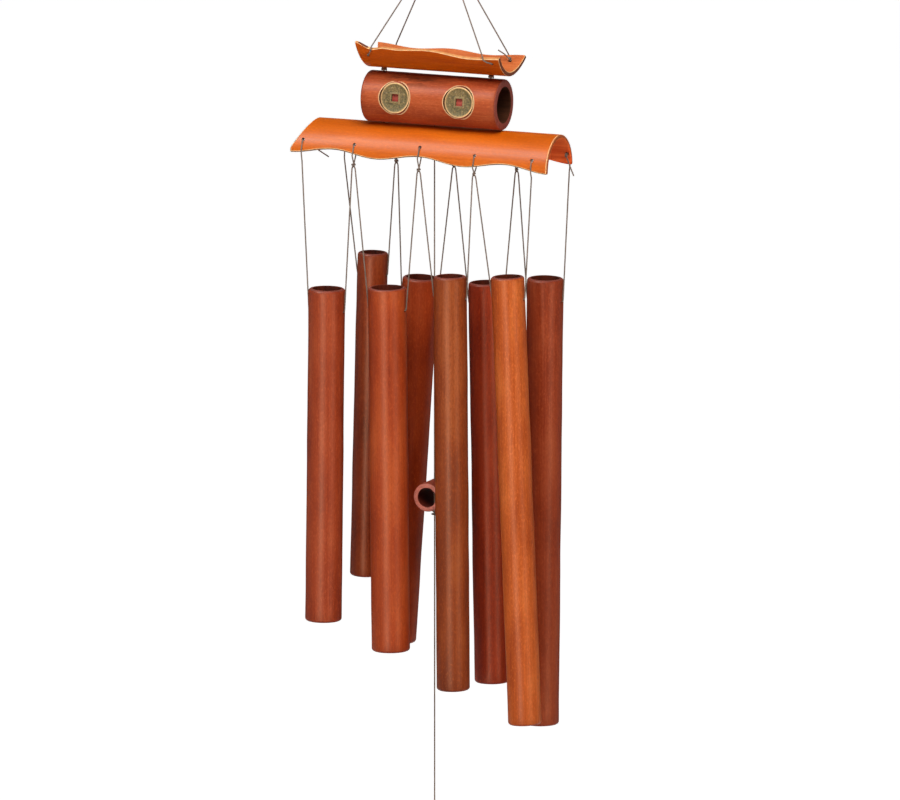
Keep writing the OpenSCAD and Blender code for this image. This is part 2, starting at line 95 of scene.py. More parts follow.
def applyModifiers(obj):
    only(obj)
    for modifier in list(obj.modifiers):
        bpy.ops.object.modifier_apply(modifier=modifier.name)


def settle(obj, matrix):
    obj.matrix_world = matrix
    only(obj)
    bpy.ops.object.transform_apply(location=True, rotation=True, scale=True)


def smooth(obj, angle=35):
    only(obj)
    bpy.ops.object.shade_smooth_by_angle(angle=math.radians(angle))


def added(shape, name, **sizes):
    bpy.ops.object.select_all(action="DESELECT")
    getattr(bpy.ops.mesh, "primitive_%s_add" % shape)(**sizes)
    obj = bpy.context.object
    obj.name = name
    return obj


def linked(name, data):
    obj = bpy.data.objects.new(name, data)
    bpy.context.scene.collection.objects.link(obj)
    return obj


def softEdges(obj, width, segments, angle, material=-1):
    modifier = obj.modifiers.new("softEdges", "BEVEL")
    modifier.width = width * mm
    modifier.segments = segments
    modifier.limit_method = "ANGLE"
    modifier.angle_limit = math.radians(angle)
    modifier.material = material
    applyModifiers(obj)


def combine(obj, other, operation):
    modifier = obj.modifiers.new("combine", "BOOLEAN")
    modifier.operation = operation
    modifier.solver = "EXACT"
    modifier.object = other
    applyModifiers(obj)
    bpy.data.objects.remove(other)


def dress(obj, *paints):
    obj.data.materials.clear()
    for paint in paints:
        obj.data.materials.append(paint)


def fit(obj, body, slot, *nodes):
    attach(obj, body)
    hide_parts(*nodes)


# Camera at the photograph's angle, long lens, and the soft light of a white studio
view = {
    "turn": 23, "rise": 10.5, "away": 18.0, "aim": (12.6, 0, -182.2),
    "pixel": 0.75, "imageWide": 900, "sensor": 36, "clipEnd": 200,  # a pixel is that many mm of the chime
}
white = (1, 1, 1, 1)
studio = {
    "floor": -1.35, "floorSize": 60, "floorColour": (0.85, 0.85, 0.85, 1), "floorGlow": 0.89, "ambient": 0.12,
    "lamps": (  # name, turn, rise, away, width, height, watts, whether it gives body light and gloss
        ("keyBox", 28, 55, 2.2, 1.25, 1.1, 52, True, True),
        ("roofGleam", -35, 48, 2.8, 1.2, 0.7, 200, False, True),
        ("leftBox", 0, -6, 2.6, 0.5, 1.4, 17, True, True),
        ("leftGleam", 0, -6, 2.6, 0.6, 1.4, 140, False, True),
        ("rightBox", 66, -2, 2.8, 0.4, 1.4, 9, True, True),
        ("rightGleam", 66, -2, 2.8, 0.5, 1.4, 70, False, True),
        ("backBox", 203, 8, 3.0, 1.6, 1.6, 30, True, False),
    ),
    "flags": (("leftFlag", 238, 0), ("rightFlag", 168, 0), ("rearFlag", 203, 36),  # name, turn, rise
              ("backFlag", 203, 0)),
    "flagAway": 2.5, "flagSize": (2.2, 2.4), "flagColour": (0.01, 0.01, 0.01, 1), "warmth": (1, 0.95, 0.87),
    "amberLamps": ("leftGleam", "rightGleam"), "amber": (1, 0.55, 0.32),
}


def around(aim, turn, rise, away):
    turn, rise = math.radians(turn), math.radians(rise)
    out = Vector((math.sin(turn) * math.cos(rise), -math.cos(turn) * math.cos(rise), math.sin(rise)))
    return aim + away * out


def pointAt(obj, spot, aim):
    obj.location = spot
    obj.rotation_euler = (aim - spot).to_track_quat("-Z", "Y").to_euler()


def addCamera(aim):
    data = bpy.data.cameras.new("camera")
    data.sensor_width = view["sensor"]
    data.lens = view["sensor"] * view["away"] / (view["imageWide"] * view["pixel"] * mm)
    data.clip_end = view["clipEnd"]
    cam = linked("camera", data)
    pointAt(cam, around(aim, view["turn"], view["rise"], view["away"]), aim)
    bpy.context.scene.camera = cam


def whiteRays(nodes, links):
    path = nodes.new("ShaderNodeLightPath")
    total = path.outputs["Is Camera Ray"]
    for kind in ("Is Glossy Ray", "Is Transmission Ray"):
        node = nodes.new("ShaderNodeMath")
        node.operation = "ADD"
        node.use_clamp = True
        links.new(total, node.inputs[0])
        links.new(path.outputs[kind], node.inputs[1])
        total = node.outputs[0]
    return total


def addLamps(aim):
    for name, turn, rise, away, width, height, watts, body, gloss in studio["lamps"]:
        data = bpy.data.lights.new(name, "AREA")
        data.shape = "RECTANGLE"
        data.size, data.size_y, data.energy = width, height, watts
        data.color = studio["amber" if name in studio["amberLamps"] else "warmth"]
        lamp = linked(name, data)
        pointAt(lamp, around(aim, turn, rise, away), aim)
        lamp.visible_camera = False
        lamp.visible_diffuse, lamp.visible_glossy = body, gloss


def addWhiteRoom():
    world = bpy.data.worlds.new("whiteRoom")
    bpy.context.scene.world = world
    world.use_nodes = True
    nodes, links = world.node_tree.nodes, world.node_tree.links
    room = nodes["Background"]
    room.inputs["Color"].default_value = white
    room.inputs["Strength"].default_value = studio["ambient"]
    seen = nodes.new("ShaderNodeBackground")
    seen.inputs["Color"].default_value = white
    mix = nodes.new("ShaderNodeMixShader")
    links.new(whiteRays(nodes, links), mix.inputs[0])
    links.new(room.outputs[0], mix.inputs[1])
    links.new(seen.outputs[0], mix.inputs[2])
    links.new(mix.outputs[0], nodes["World Output"].inputs["Surface"])


def addFloor():
    floor = added("plane", "floor", size=studio["floorSize"], location=(0, 0, studio["floor"]))
    paint = bpy.data.materials.new("paleFloor")
    paint.use_nodes = True
    nodes, links = paint.node_tree.nodes, paint.node_tree.links
    nodes.remove(nodes["Principled BSDF"])
    matt = nodes.new("ShaderNodeBsdfDiffuse")
    matt.inputs["Color"].default_value = studio["floorColour"]
    glow = nodes.new("ShaderNodeEmission")
    strength = nodes.new("ShaderNodeMath")
    strength.operation = "MULTIPLY"
    strength.inputs[1].default_value = studio["floorGlow"]
    links.new(whiteRays(nodes, links), strength.inputs[0])
    links.new(strength.outputs[0], glow.inputs["Strength"])
    both = nodes.new("ShaderNodeAddShader")
    links.new(matt.outputs[0], both.inputs[0])
    links.new(glow.outputs[0], both.inputs[1])
    links.new(both.outputs[0], nodes["Material Output"].inputs["Surface"])
    dress(floor, paint)


def addFlags(aim):  # dark cards that only the lacquer's gloss shows
    black = bpy.data.materials.new("blackFlag")
    black.use_nodes = True
    black.node_tree.nodes["Principled BSDF"].inputs["Base Color"].default_value = studio["flagColour"]
    for name, turn, rise in studio["flags"]:
        flag = added("plane", name, size=1)
        flag.scale = (*studio["flagSize"], 1)
        pointAt(flag, around(aim, turn, rise, studio["flagAway"]), aim)
        flag.visible_camera = flag.visible_diffuse = flag.visible_shadow = False
        dress(flag, black)


target = place(view["aim"])
addCamera(target)
addLamps(target)
addWhiteRoom()
addFloor()
addFlags(target)
bpy.context.scene.view_settings.view_transform = "Standard"
print("camera and studio are set")


# Materials
def shade(red, green, blue):
    def line(value):
        value /= 255
        return value / 12.92 if value <= 0.04045 else ((value + 0.055) / 1.055) ** 2.4
    return (line(red), line(green), line(blue), 1)


def toned(colour, share):
    return shade(*[min(250, c * share) for c in colour])


class Finish:
    def __init__(self, name):
        self.paint = bpy.data.materials.new(name)
        self.paint.use_nodes = True
        self.nodes = self.paint.node_tree.nodes
        self.links = self.paint.node_tree.links
        self.shader = self.nodes["Principled BSDF"]
        self.spot = self.nodes.new("ShaderNodeTexCoord").outputs["Object"]

    def stretched(self, scale, turn=(0, 0, 0), start=(0, 0, 0)):
        node = self.nodes.new("ShaderNodeMapping")
        node.inputs["Location"].default_value = start
        node.inputs["Rotation"].default_value = turn
        node.inputs["Scale"].default_value = scale
        self.links.new(self.spot, node.inputs["Vector"])
        return node.outputs["Vector"]

    def noise(self, scale, detail=3, rough=0.55, turn=(0, 0, 0)):
        node = self.nodes.new("ShaderNodeTexNoise")
        node.inputs["Scale"].default_value = 1
        node.inputs["Detail"].default_value = detail
        node.inputs["Roughness"].default_value = rough
        self.links.new(self.stretched(scale, turn), node.inputs["Vector"])
        return node.outputs["Fac"]

    def put(self, socket, value):
        if isinstance(value, (int, float, tuple)):
            socket.default_value = value
        else:
            self.links.new(value, socket)

    def math(self, operation, first, second, clamp=False):
        node = self.nodes.new("ShaderNodeMath")
        node.operation = operation
        node.use_clamp = clamp
        self.put(node.inputs[0], first)
        self.put(node.inputs[1], second)
        return node.outputs[0]

    def sum(self, *shares):
        parts = [self.math("MULTIPLY", value, share) for value, share in shares]
        total = parts[0]
        for part in parts[1:]:
            total = self.math("ADD", total, part)
        return total

    def ramp(self, value, *stops):
        node = self.nodes.new("ShaderNodeValToRGB")
        band = node.color_ramp
        while len(band.elements) < len(stops):
            band.elements.new(0.5)
        for element, (at, colour) in zip(band.elements, stops):
            element.position = at
            element.color = shade(*colour)
        self.links.new(value, node.inputs["Fac"])
        return node.outputs["Color"]

    def span(self, value, low, high, toLow, toHigh):
        node = self.nodes.new("ShaderNodeMapRange")
        for socket, number in zip(list(node.inputs)[1:5], (low, high, toLow, toHigh)):
            socket.default_value = number
        self.links.new(value, node.inputs["Value"])
        return node.outputs["Result"]

    def blend(self, share, under, over):
        node = self.nodes.new("ShaderNodeMix")
        node.data_type = "RGBA"
        for index, value in ((0, share), (6, under), (7, over)):  # the sockets of a colour mix
            self.put(node.inputs[index], value)
        return node.outputs[2]

    def length(self, vector):
        node = self.nodes.new("ShaderNodeVectorMath")
        node.operation = "LENGTH"
        self.links.new(vector, node.inputs[0])
        return node.outputs["Value"]

    def mark(self, name):
        node = self.nodes.new("ShaderNodeAttribute")
        node.attribute_name = name
        return node.outputs["Fac"]

    def bump(self, height, strength, depth):
        node = self.nodes.new("ShaderNodeBump")
        node.inputs["Strength"].default_value = strength
        node.inputs["Distance"].default_value = depth
        self.links.new(height, node.inputs["Height"])
        self.links.new(node.outputs["Normal"], self.shader.inputs["Normal"])

    def rough(self, value, low, high):
        self.feed("Roughness", self.span(value, 0.3, 0.7, low, high))

    def shine(self, amount):
        self.feed("Specular IOR Level", amount)

    def feed(self, socket, value):
        self.put(self.shader.inputs[socket], value)


fibre = {
    "streak": 900, "fine": 2300, "along": 10, "cloud": 40, "fleck": 950, "fleckAlong": 400,
    "streakShare": 0.26, "fineShare": 0.2, "cloudShare": 0.54,
}


def grainScale(across, along, axis):
    return tuple(along if name == axis else across for name in "XYZ")


def lacqueredBamboo(name, dark, mid, light, axis="Z", lean=0, rim=None, gloss=0.42, shine=0.11, flecks=0.65,
                    seats=(), stain=None):
    f = Finish(name)
    turn = (0, math.radians(lean), 0)
    streak = f.noise(grainScale(fibre["streak"], fibre["along"], axis), 4, 0.6, turn)
    fine = f.noise(grainScale(fibre["fine"], fibre["along"] * 5, axis), 3, 0.6, turn)
    cloud = f.noise(grainScale(fibre["cloud"] * 1.6, fibre["cloud"] * 0.4, axis), 2, 0.5, turn)
    fleck = f.noise(grainScale(fibre["fleck"], fibre["fleckAlong"], axis), 3, 0.6, turn)
    grain = f.sum((streak, fibre["streakShare"]), (fine, fibre["fineShare"]), (cloud, fibre["cloudShare"]))
    colour = f.ramp(grain, (0.34, dark), (0.5, mid), (0.68, light))
    colour = f.blend(f.span(fleck, 0.5, 0.7, 0, 0.5 * flecks), colour, toned(mid, 0.72))
    colour = f.blend(f.span(fleck, 0.46, 0.3, 0, 0.45 * flecks), colour, toned(light, 1.18))
    if rim:
        colour = f.blend(f.math("MULTIPLY", f.mark("endTone"), 0.75, True), colour, shade(*rim))
    if stain:
        colour = f.blend(burntStain(f, *stain), colour, toned(mid, 0.42))
    for matrix, near, far, cut in seats:  # worn lacquer round a seat
        colour = f.blend(seatWear(f, matrix, near, far), colour, shade(*cut))
    f.feed("Base Color", colour)
    f.rough(streak, gloss - 0.05, gloss + 0.08)
    f.shine(shine)
    f.bump(f.sum((streak, 0.6), (fine, 0.5)), 0.12, 0.0004)
    return f.paint


def burntStain(f, at, reach):
    start = [-a / r for a, r in zip(at, reach)]
    far = f.length(f.stretched([1 / r for r in reach], start=start))
    smoke = f.noise((60, 260, 260), 4, 0.65)
    fade = f.span(far, 0.3, 1.1, 1, 0)
    return f.math("MULTIPLY", fade, f.span(smoke, 0.36, 0.62, 0, 0.85))


def seatWear(f, matrix, near, far):
    spot = f.stretched((1, 1, 1), matrix.to_euler(), matrix.to_translation())
    flat = f.nodes.new("ShaderNodeVectorMath")
    flat.operation = "MULTIPLY"
    flat.inputs[1].default_value = (1, 1, 0)
    f.links.new(spot, flat.inputs[0])
    split = f.nodes.new("ShaderNodeSeparateXYZ")
    f.links.new(spot, split.inputs[0])
    inFront = f.math("GREATER_THAN", split.outputs["Z"], 0)
    return f.math("MULTIPLY", f.span(f.length(flat.outputs["Vector"]), near, far, 1, 0), inFront)


def cutBamboo(name, ground, pore, axis="Z"):
    f = Finish(name)
    dots = f.nodes.new("ShaderNodeTexVoronoi")
    dots.inputs["Scale"].default_value = 1
    f.links.new(f.stretched(grainScale(1500, 200, axis)), dots.inputs["Vector"])
    cloud = f.noise((320,) * 3, 3)
    colour = f.ramp(dots.outputs["Distance"], (0.12, pore), (0.42, ground))
    colour = f.blend(f.span(cloud, 0.35, 0.7, 0, 0.45), colour, toned(ground, 0.68))
    f.feed("Base Color", colour)
    f.rough(cloud, 0.55, 0.75)
    f.shine(0.25)
    f.bump(dots.outputs["Distance"], 0.3, 0.0003)
    return f.paint


def boreBamboo(name, dark, light, axis="Z", lean=0):
    f = Finish(name)
    turn = (0, math.radians(lean), 0)
    streak = f.noise(grainScale(420, 8, axis), 4, 0.65, turn)
    cloud = f.noise((60,) * 3, 3)
    grain = f.sum((streak, 0.6), (cloud, 0.4))
    f.feed("Base Color", f.ramp(grain, (0.35, dark), (0.65, light)))
    f.rough(streak, 0.6, 0.85)
    f.shine(0.06)
    f.bump(streak, 0.35, 0.0005)
    return f.paint


def waxedTwine(name, dark, light):
    f = Finish(name)
    fuzz = f.noise((2400,) * 3, 3, 0.6)
    cloud = f.noise((90,) * 3, 2)
    grain = f.sum((fuzz, 0.6), (cloud, 0.4))
    f.feed("Base Color", f.ramp(grain, (0.34, dark), (0.66, light)))
    f.rough(fuzz, 0.6, 0.8)
    f.shine(0.3)
    f.feed("Sheen Weight", 0.15)
    f.bump(fuzz, 0.3, 0.0002)
    return f.paint


def agedBrass(name, bright, dull, verdigris):
    f = Finish(name)
    wear = f.noise((1100,) * 3, 4, 0.7)
    cloud = f.noise((900,) * 3, 4, 0.7)
    raised = f.mark("relief")
    ground = f.ramp(cloud, (0.38, verdigris), (0.62, dull))
    rubbed = f.math("MULTIPLY", raised, f.span(wear, 0.25, 0.6, 0.55, 1), True)
    f.feed("Base Color", f.blend(rubbed, ground, shade(*bright)))
    f.feed("Metallic", f.span(rubbed, 0, 1, 0.1, 0.35))
    f.rough(wear, 0.45, 0.65)
    f.shine(0.2)
    f.bump(wear, 0.3, 0.0002)
    return f.paint


def ringSteel(name):
    f = Finish(name)
    brushed = f.noise((500, 2600, 500), 4, 0.6)
    f.feed("Base Color", f.ramp(brushed, (0.35, (150, 152, 156)), (0.65, (196, 198, 202))))
    f.feed("Metallic", 1.0)
    f.rough(brushed, 0.22, 0.38)
    f.bump(brushed, 0.12, 0.0002)
    return f.paint


twinePaint = waxedTwine("waxedTwine", (70, 58, 52), (126, 108, 98))
stainedTwine = waxedTwine("stainedTwine", (64, 32, 20), (132, 72, 42))
print("shared finishes are made")


# Cords: a three-strand twine follows each route, turned as it goes
cordSet = {
    "across": 1.2, "knot": 3.8, "knotSide": 0.7, "knotSteps": 45, "lay": 0.15, "swing": 0.3,
    "step": 0.5, "bend": 1.4, "pitch": 3.6, "lobe": 0.13, "outlinePoints": 15, "ringSteps": 24,
}
cordAcross = cordSet["across"]
cordR = cordAcross / 2
knotR = cordSet["knot"] / 2
lay, swing = cordSet["lay"], cordSet["swing"]
knotSide = cordR + cordSet["knotSide"]


def strandOutline():
    count = cordSet["outlinePoints"]
    data = bpy.data.curves.new("strandOutline", "CURVE")
    spline = data.splines.new("POLY")
    spline.points.add(count - 1)
    spline.use_cyclic_u = True
    for i, point in enumerate(spline.points):
        a = 2 * math.pi * i / count
        r = cordR * mm * (1 - cordSet["lobe"] + cordSet["lobe"] * math.cos(3 * a))
        point.co = (r * math.cos(a), r * math.sin(a), 0, 1)
    return linked("strandOutline", data)


outline = strandOutline()


def rounded(points, reach):
    points = [Vector(p) for p in points]
    route = [points[0]]
    for before, corner, after in zip(points, points[1:], points[2:]):
        a = corner + (before - corner) * min(reach / (before - corner).length, 0.45)
        b = corner + (after - corner) * min(reach / (after - corner).length, 0.45)
        for k in range(6):
            t = k / 5
            route.append(a.lerp(corner, t).lerp(corner.lerp(b, t), t))
    return route + [points[-1]]


def evenly(points, step):
    total = sum((b - a).length for a, b in zip(points, points[1:]))
    count = max(4, round(total / step))
    route, walked, want = [points[0]], 0, 1
    for a, b in zip(points, points[1:]):
        long = (b - a).length
        while want < count and walked + long >= total * want / count:
            route.append(a.lerp(b, (total * want / count - walked) / long))
            want += 1
        walked += long
    return route + [points[-1]], total


def twine(name, points, soften=True):
    bends = rounded(points, cordSet["bend"]) if soften else [Vector(p) for p in points]
    route, total = evenly(bends, cordSet["step"])
    data = bpy.data.curves.new(name, "CURVE")
    data.dimensions = "3D"
    data.twist_mode = "MINIMUM"
    data.bevel_mode = "OBJECT"
    data.bevel_object = outline
    data.use_fill_caps = True
    spline = data.splines.new("POLY")
    spline.points.add(len(route) - 1)
    for i, (knob, at) in enumerate(zip(spline.points, route)):
        knob.co = (*place(at), 1)
        knob.tilt = 2 * math.pi * i * total / len(route) / cordSet["pitch"]
    only(linked(name, data))
    bpy.ops.object.convert(target="MESH")
    obj = bpy.context.object
    mode("EDIT")
    pick("SELECT")
    bpy.ops.mesh.normals_make_consistent(inside=False)
    mode("OBJECT")
    dress(obj, twinePaint)
    smooth(obj, 60)
    obj["path"] = [c for at in route for c in place(at)]
    obj["long"] = total * mm
    return obj


def forget(obj):
    for key in ("path", "long"):
        if key in obj:
            del obj[key]


def joined(name, pieces):
    only(pieces[0])
    for piece in pieces[1:]:
        piece.select_set(True)
    bpy.ops.object.join()
    obj = bpy.context.object
    obj.name = name
    forget(obj)
    return obj


def knotRoute(at, turn=0, tail=()):
    k = (knotR - cordR) / 3
    spin = Matrix.Rotation(math.radians(turn), 3, "Z")
    points = []
    steps = cordSet["knotSteps"]
    for i in range(steps + 1):
        t = 0.5 + (2 * math.pi - 0.6) * i / steps  # a trefoil, open where its ends leave
        x = math.sin(t) + 2 * math.sin(2 * t)
        z = math.cos(t) - 2 * math.cos(2 * t)
        points.append(Vector(at) + spin @ Vector((x * k, -1.5 * k * math.sin(3 * t), z * k)))
    return points + [Vector(p) for p in tail]


def ringRoute(at, radius, turns, rise, axis="Z"):
    points = []
    count = round(turns * cordSet["ringSteps"])
    for i in range(count + 1):
        a = 2 * math.pi * turns * i / count
        climb = rise * (i / count - 0.5)
        c, s = radius * math.cos(a), radius * math.sin(a)
        points.append(Vector(at) + (Vector((climb, c, s)) if axis == "X" else Vector((c, s, climb))))
    return points


def boundCord(name, node, pieces):
    fit(joined(name, pieces), "canopy", "cord", node)


def freeCord(obj, body, node):
    forget(obj)
    fit(obj, body, "cord", node)


# Upper roof's sizes, which its hanger cords follow
upperRoof = {
    "long": 120.5, "radius": 25, "wall": 3.2, "halfArc": 65, "roll": 8, "middle": 5.7,
    "wave": 1.2, "waves": 2, "tip": (3, 1.2), "dip": 3.3, "dipAt": 0.8, "dipReach": 0.2,
    "short": 4, "rake": 3.5, "holeAngle": 50, "holeAcross": 2.2,
    "holes": (-50.5, 50, -52, 50), "rims": (-47, 43.5, -46.5, 45.5),
    "corners": ("front_left", "front_right", "back_left", "back_right"),
    "looseEnd": ((-3, -1.5, 3.2), (-8.5, -2.5, 6.6)), "knotTurn": 40, "swell": 0.2, "edgeSoftening": 0.45,
}
barrelSet = {
    "long": 109, "across": 38.4, "bore": 27, "middle": 2, "edge": 1.2, "gapOver": 3.2, "gapUnder": 0.6,
    "ties": (-41, 46), "tieAcross": 2.2, "wrap": (1.7, 2.5, 1.4), "swell": 0.25,  # wrap: radius, turns, rise
}
ringSet = {
    "high": 187, "aside": -centreX / mm, "across": 25, "wire": 3, "loopTurns": 3, "loopRise": 2.7,
    "gatherAcross": 6, "gatherHigh": 5, "gatherTurns": 4, "strandR": 1.15, "spread": 0.8,
}
upperR = upperRoof["radius"]
barrelZ = lowerR + barrelSet["gapUnder"] + barrelSet["across"] / 2
upperZ = barrelZ + barrelSet["across"] / 2 + barrelSet["gapOver"] + upperR
upperIn = upperR - upperRoof["wall"]
lowerIn = lowerR - lowerRoof["wall"]
ringR = (ringSet["across"] - ringSet["wire"]) / 2
loopR = ringSet["wire"] / 2 + swing + cordR
gatherTop = ringSet["high"] - ringR - loopR - cordR - swing


def sine(angle):
    return math.sin(math.radians(angle))


def cosine(angle):
    return math.cos(math.radians(angle))


def upperPoint(x, angle, r):
    lean = angle - upperRoof["roll"]
    return Vector((upperRoof["middle"] + x, r * sine(lean), upperZ - r * cosine(lean)))


def upperRim(row, x):
    share = x / upperRoof["long"]
    wave = upperRoof["wave"] * math.cos(2 * math.pi * upperRoof["waves"] * share)
    t = (-2 * share - upperRoof["dipAt"]) / upperRoof["dipReach"]
    if row == 0 and abs(t) < 1:  # the front rim dips beside its left tip
        wave -= upperRoof["dip"] * (1 + math.cos(math.pi * t)) / 2
    return wave - 2 * upperRoof["tip"][row] * share


def upperRimAngle(row, x):
    return math.degrees(math.acos(cosine(upperRoof["halfArc"]) - upperRim(row, x) / upperR))


def hangerRoute(corner):
    side, end = sides[corner // 2], sides[corner % 2]
    rimX, holeX = upperRoof["rims"][corner], upperRoof["holes"][corner]
    rim, hole = upperRimAngle(corner // 2, rimX), upperRoof["holeAngle"]
    layR = upperR + cordR + lay
    degree = 180 / math.pi / upperR
    spread = cordAcross * ringSet["spread"]
    return [
        Vector((ringSet["aside"] + end * spread, side * spread, gatherTop - ringSet["gatherHigh"] - cordR)),
        upperPoint(rimX, side * (rim + 1.6 * degree * cordAcross), layR - cordR),
        upperPoint(rimX, side * rim, layR + lay),
        upperPoint((rimX + holeX) / 2, side * (rim + hole) / 2, layR + lay),
        upperPoint(holeX, side * (hole + cordAcross * degree), layR),
        upperPoint(holeX, side * (hole + 0.3 * degree), upperR + 0.4 * cordR),
        upperPoint(holeX, side * hole, upperR - cordAcross),
        upperPoint(holeX, side * hole, upperIn - lay),
    ]


def addHangers():
    for corner, word in enumerate(upperRoof["corners"]):
        freeCord(twine("hangerCord." + word, hangerRoute(corner)), "canopy", "hanger_cord_" + word)
    knots = []
    for corner in range(4):
        side = sides[corner // 2]
        at = upperPoint(upperRoof["holes"][corner], side * upperRoof["holeAngle"], upperIn - 2 * lay - knotR)
        tail = [at + Vector(p) for p in upperRoof["looseEnd"]] if corner == 3 else ()
        knots.append(twine("stopper", knotRoute(at, upperRoof["knotTurn"] * corner, tail)))
    boundCord("upperRoofKnots", "upper_roof_knots", knots)

    aside = ringSet["aside"]
    loop = ringRoute((aside, 0, ringSet["high"] - ringR), loopR,
                     ringSet["loopTurns"], ringSet["loopRise"], "X")
    fit(twine("hangerLoop", loop, False), "hanger_loop", "cord", "hanger_loop")
    low = gatherTop - ringSet["gatherHigh"]
    middle = (low + gatherTop) / 2
    wrapR = (ringSet["gatherAcross"] - cordAcross) / 2
    rise = ringSet["gatherHigh"] - cordAcross
    gather = [twine("gatherWrap", ringRoute((aside, 0, middle), wrapR, ringSet["gatherTurns"], rise), False)]
    for a in (45, 135, 225, 315):
        x, y = aside + ringSet["strandR"] * cosine(a), ringSet["strandR"] * sine(a)
        gather.append(twine("gatherStrand", [(x, y, low), (x, y, middle), (x, y, gatherTop)]))
    boundCord("gatherKnot", "gather_knot", gather)


addHangers()
print("hanger cords are tied")


# Lower roof's edge cords and the slings of the eight tubes
tubeSet = {
    "across": (27.5, 23, 29, 27.5, 25, 26.5, 25, 27.5),
    "long": (253.5, 247.5, 277, 280, 315, 305, 340, 340.5),
    "drop": (99.5, 78.5, 95, 95, 83, 95, 80, 88.5),
    "shift": (-0.8, 2, 0.8, -3.5, 3, 0.4, 4, 2),
    "lean": (-0.7, -1.5, 0.6, -3.9, 0.5, 1, 2.4, -0.6),
    "wall": 3, "edge": 2, "holeDrop": 17, "holeAcross": 2.2, "strandGap": 0.3, "bend": 1.5, "swell": 0.35,
}
rowY = lowerR - lowerRoof["rowInset"]


def lowerEdge(x):
    wave = 1 - math.cos(2 * math.pi * lowerRoof["waves"] * (x / lowerRoof["long"] + 0.5))
    return lowerRoof["lift"] - 2 * lowerRoof["tip"] * x / lowerRoof["long"] + lowerRoof["wave"] / 2 * wave


def lowerPoint(row, x, angle, r):
    return Vector((x, sides[row] * r * cosine(angle), r * sine(angle)))


def isEnd(k):
    return k in (0, len(lowerRoof["holeAngle"]) - 1)


def edgeRoute(row, k):
    x, y = lowerRoof["holes"][row][k], sides[row] * rowY
    outR, inR = lowerR + cordR + lay, lowerIn - cordR - lay
    low = lowerEdge(x - lowerRoof["middle"]) - cordR
    a, degree = lowerRoof["holeAngle"][k], 180 / math.pi / lowerR
    tail = 0 if isEnd(k) else knotSide
    foot = -lowerRoof["knotDrop"][row]
    cross = -tail / 2 if isEnd(k) else tail / 3  # the two strands cross under the edge
    down = [
        Vector((x + cross, y, foot)),
        lowerPoint(row, x - tail / 2, math.degrees(math.asin(low / outR)), outR),
        lowerPoint(row, x, a / 2, outR),
        lowerPoint(row, x, a - cordAcross * degree, outR),
        lowerPoint(row, x, a - 0.25 * degree, lowerR + 0.4 * cordR),
        lowerPoint(row, x, a, lowerR - cordAcross),
    ]
    if isEnd(k):
        return down + [lowerPoint(row, x, a, lowerIn - lay)]
    return down + [
        lowerPoint(row, x, a, lowerIn + cordAcross),
        lowerPoint(row, x, a - 0.25 * degree, lowerIn - 0.4 * cordR),
        lowerPoint(row, x, a - cordAcross * degree, inR),
        lowerPoint(row, x, a / 2, inR),
        lowerPoint(row, x + tail / 2, math.degrees(math.asin(low / inR)), inR),
        Vector((x - cross, y - sides[row] * cordAcross * 1.2, foot)),
    ]


def addEdgeCords():
    last = len(lowerRoof["holeAngle"]) - 1
    tails = {  # loose ends that the photograph shows, from the end knots
        (0, 0): ((-92, -16, 6.5), (-86, -15, 2.5), (-79.7, -15, -0.9)),
        (1, last): ((100, 19, 4), (101.5, 19.8, -1), (104.6, 20.2, -8.6)),
    }
    for row, word in enumerate(("front", "back")):
        cords = [twine("edgeCord", edgeRoute(row, k)) for k in range(last + 1)]
        boundCord(word + "EdgeCords", word + "_edge_cords", cords)
        knots = []
        for k in range(last + 1):
            x = lowerRoof["holes"][row][k]
            at = Vector((x, sides[row] * rowY, -lowerRoof["knotDrop"][row]))
            if isEnd(k):
                at = lowerPoint(row, x, lowerRoof["holeAngle"][k], lowerIn - 2 * lay - knotR)
            knots.append(twine("edgeKnot", knotRoute(at, 25 * k + 15, tails.get((row, k), ()))))
        boundCord(word + "EdgeKnots", word + "_edge_knots", knots)


def tubeTop(i):
    row, k = i % 2, i // 2
    left, right = lowerRoof["holes"][row][k], lowerRoof["holes"][row][k + 1]
    return Vector(((left + right) / 2 + tubeSet["shift"][i], sides[row] * rowY, -tubeSet["drop"][i]))


def tubeAxes(i):
    lean = tubeSet["lean"][i]
    return Vector((cosine(lean), 0, sine(lean))), Vector((sine(lean), 0, -cosine(lean)))


def slingHalf(i, side):
    row, k = i % 2, i // 2 + side
    away = sides[side]
    across, down = tubeAxes(i)
    drop = swing if isEnd(k) else knotR + swing
    aside = 0 if isEnd(k) else knotSide
    knot = Vector((lowerRoof["holes"][row][k], sides[row] * rowY, -lowerRoof["knotDrop"][row]))
    top = [knot, knot - Vector((away * aside, 0, drop))]
    hole = tubeTop(i) + tubeSet["holeDrop"] * down
    reach, bend = tubeSet["across"][i] / 2 + tubeSet["strandGap"] + cordR, tubeSet["bend"]
    corner = hole + away * (reach - bend) * across - bend * down
    turns = [22.5 * n for n in range(5)]
    return top + [corner + bend * (away * cosine(t) * across + sine(t) * down) for t in turns]


def addSlings():
    for i in range(8):
        number = i + 1
        sling = twine("tubeSling%d" % number, slingHalf(i, 0) + slingHalf(i, 1)[::-1])
        freeCord(sling, "sling_%d" % number, "tube_sling_%d" % number)


addEdgeCords()
addSlings()
print("edge cords and slings are tied")


